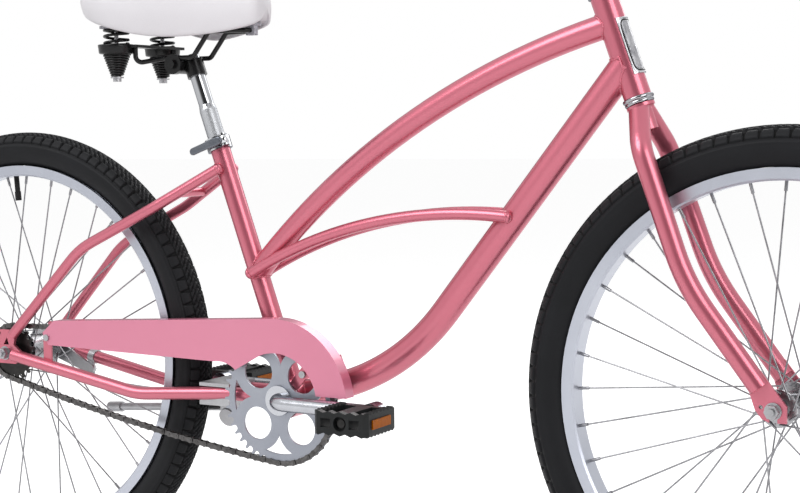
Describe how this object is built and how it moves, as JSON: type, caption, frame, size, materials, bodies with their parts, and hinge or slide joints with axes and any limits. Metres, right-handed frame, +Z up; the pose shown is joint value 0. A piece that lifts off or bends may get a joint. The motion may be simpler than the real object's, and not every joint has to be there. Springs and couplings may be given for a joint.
{
  "type": "beach cruiser bicycle",
  "caption": "Step-through beach cruiser bicycle with curved frame tubes, coaster hub, chain guard, sprung saddle, swept handlebar and folding kickstand.",
  "frame": {"origin": "on the ground, midway between the axles, in the bicycle's middle plane", "axes": "+X forward, +Y to the rider's left, +Z up"},
  "size_m": [1.866, 0.723, 1.0449],
  "materials": {
    "frame_paint": "gloss",
    "guard_paint": "gloss",
    "tyre": "ribbed black rubber",
    "rim": "satin",
    "spoke": "bright",
    "hub": "satin",
    "fastener": "zinc",
    "valve": "matt",
    "chain": "oiled",
    "chainring": "satin grey",
    "sprocket": "black oxide",
    "chrome": "polished",
    "badge": "brushed plate",
    "black_steel": "semi-gloss black",
    "grip": "matt, ribbed",
    "pedal": "black",
    "reflector": "amber lens",
    "zinc": "dull zinc",
    "pan": "grey, speckled",
    "cushion": "smooth white"
  },
  "bodies": {
    "frame": {"head_tube": "frame_paint", "top_tube": "frame_paint", "down_tube": "frame_paint", "seat_tube": "frame_paint", "bottom_bracket_shell": "frame_paint", "mid_tubes": "frame_paint", "chainstay_right": "frame_paint", "chainstay_left": "frame_paint", "seatstay_right": "frame_paint", "seatstay_left": "frame_paint", "dropouts": "frame_paint", "seatstay_bridge": "frame_paint", "chain_guard": "guard_paint", "chain_guard_tabs": "frame_paint", "chain_guard_screws": "fastener", "bottom_bracket_cups": "chrome", "headset_cups": "chrome", "head_badge": "badge", "seat_collar": "chrome", "brake_arm": "fastener", "rear_axle": "fastener", "chain": "chain", "kickstand_bracket": "zinc"},
    "steering": {"fork_steerer": "frame_paint", "fork_blade_right": "frame_paint", "fork_blade_left": "frame_paint", "fork_tips": "frame_paint", "headset_locknut": "chrome", "stem": "chrome", "handlebar": "chrome", "grips": "grip", "front_axle": "fastener"},
    "front_wheel": {"front_tyre": "tyre", "front_rim": "rim", "front_valve": "valve", "front_spokes": "spoke", "front_hub": "hub"},
    "rear_wheel": {"rear_tyre": "tyre", "rear_rim": "rim", "rear_valve": "valve", "rear_spokes": "spoke", "rear_hub": "hub"},
    "driver": {"rear_sprocket": "sprocket"},
    "crankset": {"crank": "chrome", "chainring": "chainring", "pedal_spindles": "chrome"},
    "pedal_right": {"pedal_right": "pedal", "pedal_reflectors_right": "reflector"},
    "pedal_left": {"pedal_left": "pedal", "pedal_reflectors_left": "reflector"},
    "kickstand": {"kickstand_leg": "zinc"},
    "seat": {"seatpost": "chrome", "saddle_clamp": "black_steel", "saddle_rails": "black_steel", "saddle_carrier": "black_steel", "saddle_springs": "black_steel"},
    "saddle": {"saddle_pan": "pan", "saddle_cushion": "cushion", "spring_bolts": "fastener"},
    "seat_lever": {"seat_lever": "chrome"}
  },
  "joints": [
    {"name": "steering_turn", "type": "hinge", "parent": "frame", "child": "steering", "pos_m": [0.40719, 0, 0.70923], "axis": [-0.3355, 0, 0.9421], "range_deg": [-75, 75]},
    {"name": "front_wheel_spin", "type": "hinge", "parent": "steering", "child": "front_wheel", "pos_m": [0.596, 0, 0.337], "axis": [0, 1, 0], "continuous": true},
    {"name": "rear_wheel_spin", "type": "hinge", "parent": "frame", "child": "rear_wheel", "pos_m": [-0.596, 0, 0.337], "axis": [0, 1, 0], "continuous": true},
    {"name": "crank_spin", "type": "hinge", "parent": "frame", "child": "crankset", "pos_m": [-0.10472, 0, 0.297], "axis": [0, 1, 0], "continuous": true, "deforming": ["chain"]},
    {"name": "sprocket_spin", "type": "hinge", "parent": "frame", "child": "driver", "pos_m": [-0.596, 0, 0.337], "axis": [0, 1, 0], "continuous": true},
    {"name": "pedal_right_spin", "type": "hinge", "parent": "crankset", "child": "pedal_right", "pos_m": [0.06528, -0.076, 0.297], "axis": [0, 1, 0], "continuous": true},
    {"name": "pedal_left_spin", "type": "hinge", "parent": "crankset", "child": "pedal_left", "pos_m": [-0.27471, 0.062, 0.297], "axis": [0, 1, 0], "continuous": true},
    {"name": "kickstand_swing", "type": "hinge", "parent": "frame", "child": "kickstand", "pos_m": [-0.23172, 0.022, 0.259], "axis": [0, -0.9397, -0.342], "range_deg": [0, 100]},
    {"name": "seatpost_slide", "type": "slide", "parent": "frame", "child": "seat", "axis": [-0.3355, 0, 0.9421], "range_m": [-0.06, 0.06]},
    {"name": "saddle_bounce", "type": "hinge", "parent": "seat", "child": "saddle", "pos_m": [-0.17079, 0, 0.81462], "axis": [0, -1, 0], "range_deg": [0, 3], "stiffness_Nm_per_rad": 1500, "springref_deg": -0.23, "deforming": ["saddle_springs"]},
    {"name": "seat_lever_swing", "type": "hinge", "parent": "frame", "child": "seat_lever", "pos_m": [-0.21179, -0.01491, 0.66118], "axis": [-0.3355, 0, 0.9421], "range_deg": [0, 150]}
  ],
  "couplings": [
    {"joint": "sprocket_spin", "follows": "crank_spin", "ratio": 2.2}
  ]
}
